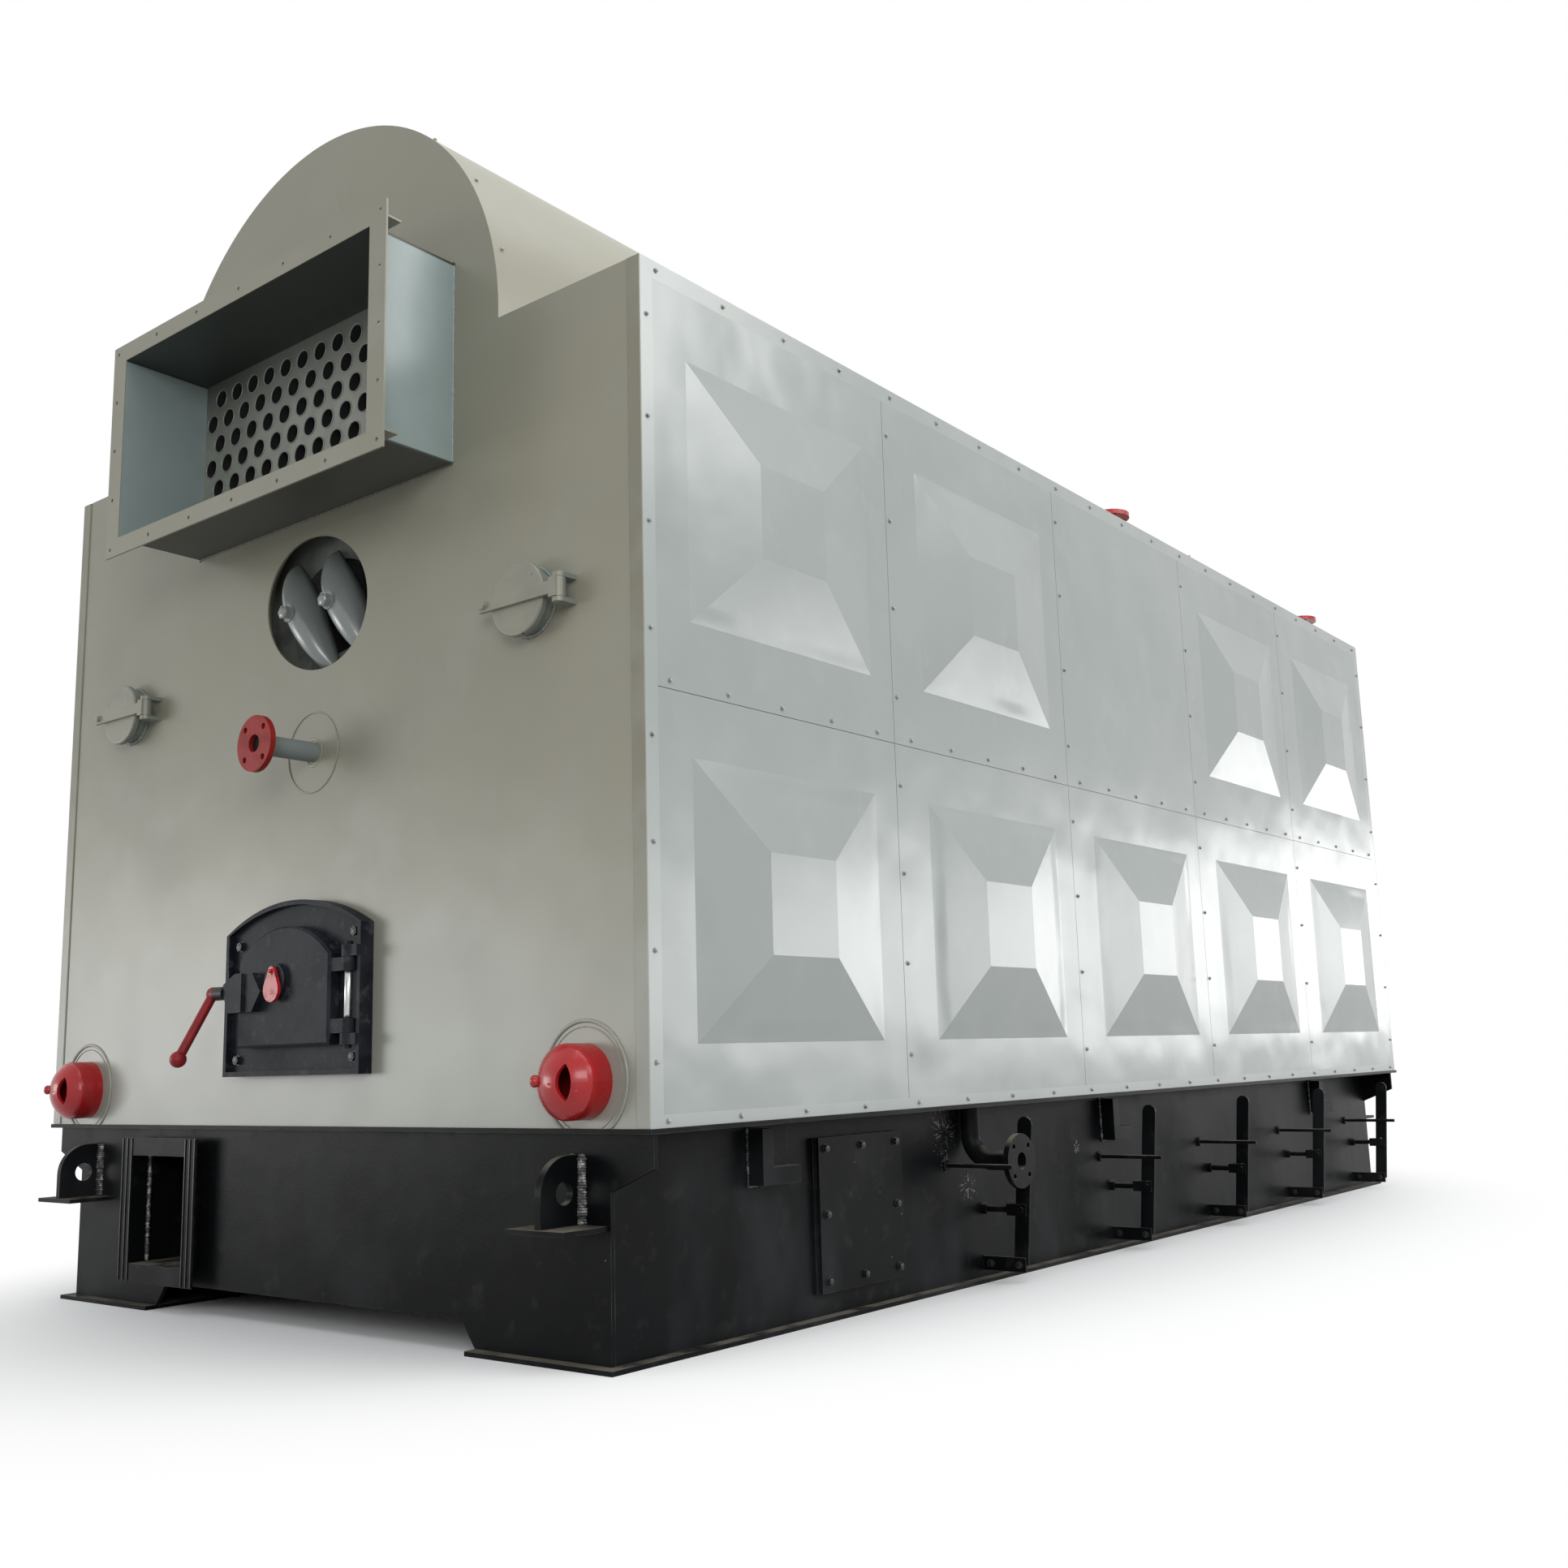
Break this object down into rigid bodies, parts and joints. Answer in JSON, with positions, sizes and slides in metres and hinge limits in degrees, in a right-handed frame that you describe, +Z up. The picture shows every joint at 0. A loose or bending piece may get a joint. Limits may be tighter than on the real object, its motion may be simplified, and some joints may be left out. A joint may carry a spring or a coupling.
{
  "type": "industrial boiler",
  "caption": "Packaged solid-fuel steam boiler in a clad casing on a black base frame, with flue outlet, fire door, cleaning ports and damper levers.",
  "frame": {"origin": "on the floor, at the middle of the overall box", "axes": "+Z up; +Y along the casing away from the flue end; +X towards the damper levers"},
  "size_m": [2.891, 5.895, 3.628],
  "materials": {
    "casing_beige": "satin paint",
    "panel_blue": "gloss paint",
    "duct_teal": "satin paint",
    "base_black": "semi-gloss paint",
    "cast_black": "painted casting",
    "red_paint": "gloss paint",
    "port_grey": "satin paint",
    "drum_steel": "grey-green paint",
    "refractory": "sooty brick lining"
  },
  "bodies": {
    "root": {"base_side_right": "base_black", "base_side_left": "base_black", "base_end_near": "base_black", "base_end_far": "base_black", "base_deck": "base_black", "air_inlet": "base_black", "lifting_lugs": "base_black", "access_covers": "base_black", "deck_brackets": "base_black", "drain_pipe": "base_black", "lever_brackets": "base_black", "roof_nozzles": "red_paint", "end_panel_near": "casing_beige", "end_panel_far": "casing_beige", "roof_sheet": "casing_beige", "drum_cover": "casing_beige", "side_wall_right": "casing_beige", "side_wall_left": "casing_beige", "panels_right_lower": "panel_blue", "panels_right_upper": "panel_blue", "panels_left_lower": "panel_blue", "panels_left_upper": "panel_blue", "trim_frame_right": "panel_blue", "trim_frame_left": "panel_blue", "flue_duct": "duct_teal", "flue_angle_frame": "casing_beige", "tube_sheet": "drum_steel", "manhole_plate": "drum_steel", "manhole_cover": "drum_steel", "manhole_yokes": "drum_steel", "feed_pipe": "red_paint", "header_ends_near": "red_paint", "header_ends_far": "red_paint", "port_necks": "port_grey", "fire_door_frame": "cast_black", "furnace_mouth": "refractory"},
    "fire_door": {"fire_door": "cast_black"},
    "latch_handle": {"latch_handle": "red_paint"},
    "peephole_flap": {"peephole_flap": "red_paint"},
    "port_cover_right": {"port_cover_right": "port_grey"},
    "port_cover_left": {"port_cover_left": "port_grey"},
    "damper_lever_1": {"damper_lever_1": "base_black"},
    "push_rod_1": {"push_rod_1": "base_black"},
    "damper_lever_2": {"damper_lever_2": "base_black"},
    "push_rod_2": {"push_rod_2": "base_black"},
    "damper_lever_3": {"damper_lever_3": "base_black"},
    "push_rod_3": {"push_rod_3": "base_black"},
    "damper_lever_4": {"damper_lever_4": "base_black"},
    "push_rod_4": {"push_rod_4": "base_black"},
    "damper_lever_5": {"damper_lever_5": "base_black"},
    "push_rod_5": {"push_rod_5": "base_black"}
  },
  "joints": [
    {"name": "fire_door_hinge", "type": "hinge", "parent": "root", "child": "fire_door", "pos_m": [0.292, -2.705, 0.92], "axis": [0, 0, 1], "range_deg": [0, 110]},
    {"name": "door_latch", "type": "hinge", "parent": "fire_door", "child": "latch_handle", "pos_m": [-0.32, -2.7375, 0.948], "axis": [-1, 0, 0], "range_deg": [0, 75]},
    {"name": "peephole_swing", "type": "hinge", "parent": "fire_door", "child": "peephole_flap", "pos_m": [-0.015, -2.7425, 1], "axis": [0, -1, 0], "range_deg": [0, 100]},
    {"name": "port_right_hinge", "type": "hinge", "parent": "root", "child": "port_cover_right", "pos_m": [1.13, -2.7035, 1.912], "axis": [0, 0, 1], "range_deg": [0, 120]},
    {"name": "port_left_hinge", "type": "hinge", "parent": "root", "child": "port_cover_left", "pos_m": [-0.83, -2.7035, 1.912], "axis": [0, 0, 1], "range_deg": [0, 120]},
    {"name": "lever_1_tilt", "type": "hinge", "parent": "root", "child": "damper_lever_1", "pos_m": [1.36, -0.94794, 0.055], "axis": [0, 1, 0], "range_deg": [-10, 15]},
    {"name": "rod_1_slide", "type": "slide", "parent": "root", "child": "push_rod_1", "axis": [1, 0, 0], "range_m": [-0.035, 0.05]},
    {"name": "lever_2_tilt", "type": "hinge", "parent": "root", "child": "damper_lever_2", "pos_m": [1.36, -0.04988, 0.055], "axis": [0, 1, 0], "range_deg": [-10, 15]},
    {"name": "rod_2_slide", "type": "slide", "parent": "root", "child": "push_rod_2", "axis": [1, 0, 0], "range_m": [-0.035, 0.05]},
    {"name": "lever_3_tilt", "type": "hinge", "parent": "root", "child": "damper_lever_3", "pos_m": [1.36, 0.81572, 0.055], "axis": [0, 1, 0], "range_deg": [-10, 15]},
    {"name": "rod_3_slide", "type": "slide", "parent": "root", "child": "push_rod_3", "axis": [1, 0, 0], "range_m": [-0.035, 0.05]},
    {"name": "lever_4_tilt", "type": "hinge", "parent": "root", "child": "damper_lever_4", "pos_m": [1.36, 1.68132, 0.055], "axis": [0, 1, 0], "range_deg": [-10, 15]},
    {"name": "rod_4_slide", "type": "slide", "parent": "root", "child": "push_rod_4", "axis": [1, 0, 0], "range_m": [-0.035, 0.05]},
    {"name": "lever_5_tilt", "type": "hinge", "parent": "root", "child": "damper_lever_5", "pos_m": [1.36, 2.54692, 0.055], "axis": [0, 1, 0], "range_deg": [-10, 15]},
    {"name": "rod_5_slide", "type": "slide", "parent": "root", "child": "push_rod_5", "axis": [1, 0, 0], "range_m": [-0.035, 0.05]}
  ],
  "couplings": [
    {"joint": "rod_1_slide", "follows": "lever_1_tilt", "m_per_rad": 0.1676},
    {"joint": "rod_2_slide", "follows": "lever_2_tilt", "m_per_rad": 0.1676},
    {"joint": "rod_3_slide", "follows": "lever_3_tilt", "m_per_rad": 0.1676},
    {"joint": "rod_4_slide", "follows": "lever_4_tilt", "m_per_rad": 0.1676},
    {"joint": "rod_5_slide", "follows": "lever_5_tilt", "m_per_rad": 0.1676}
  ]
}
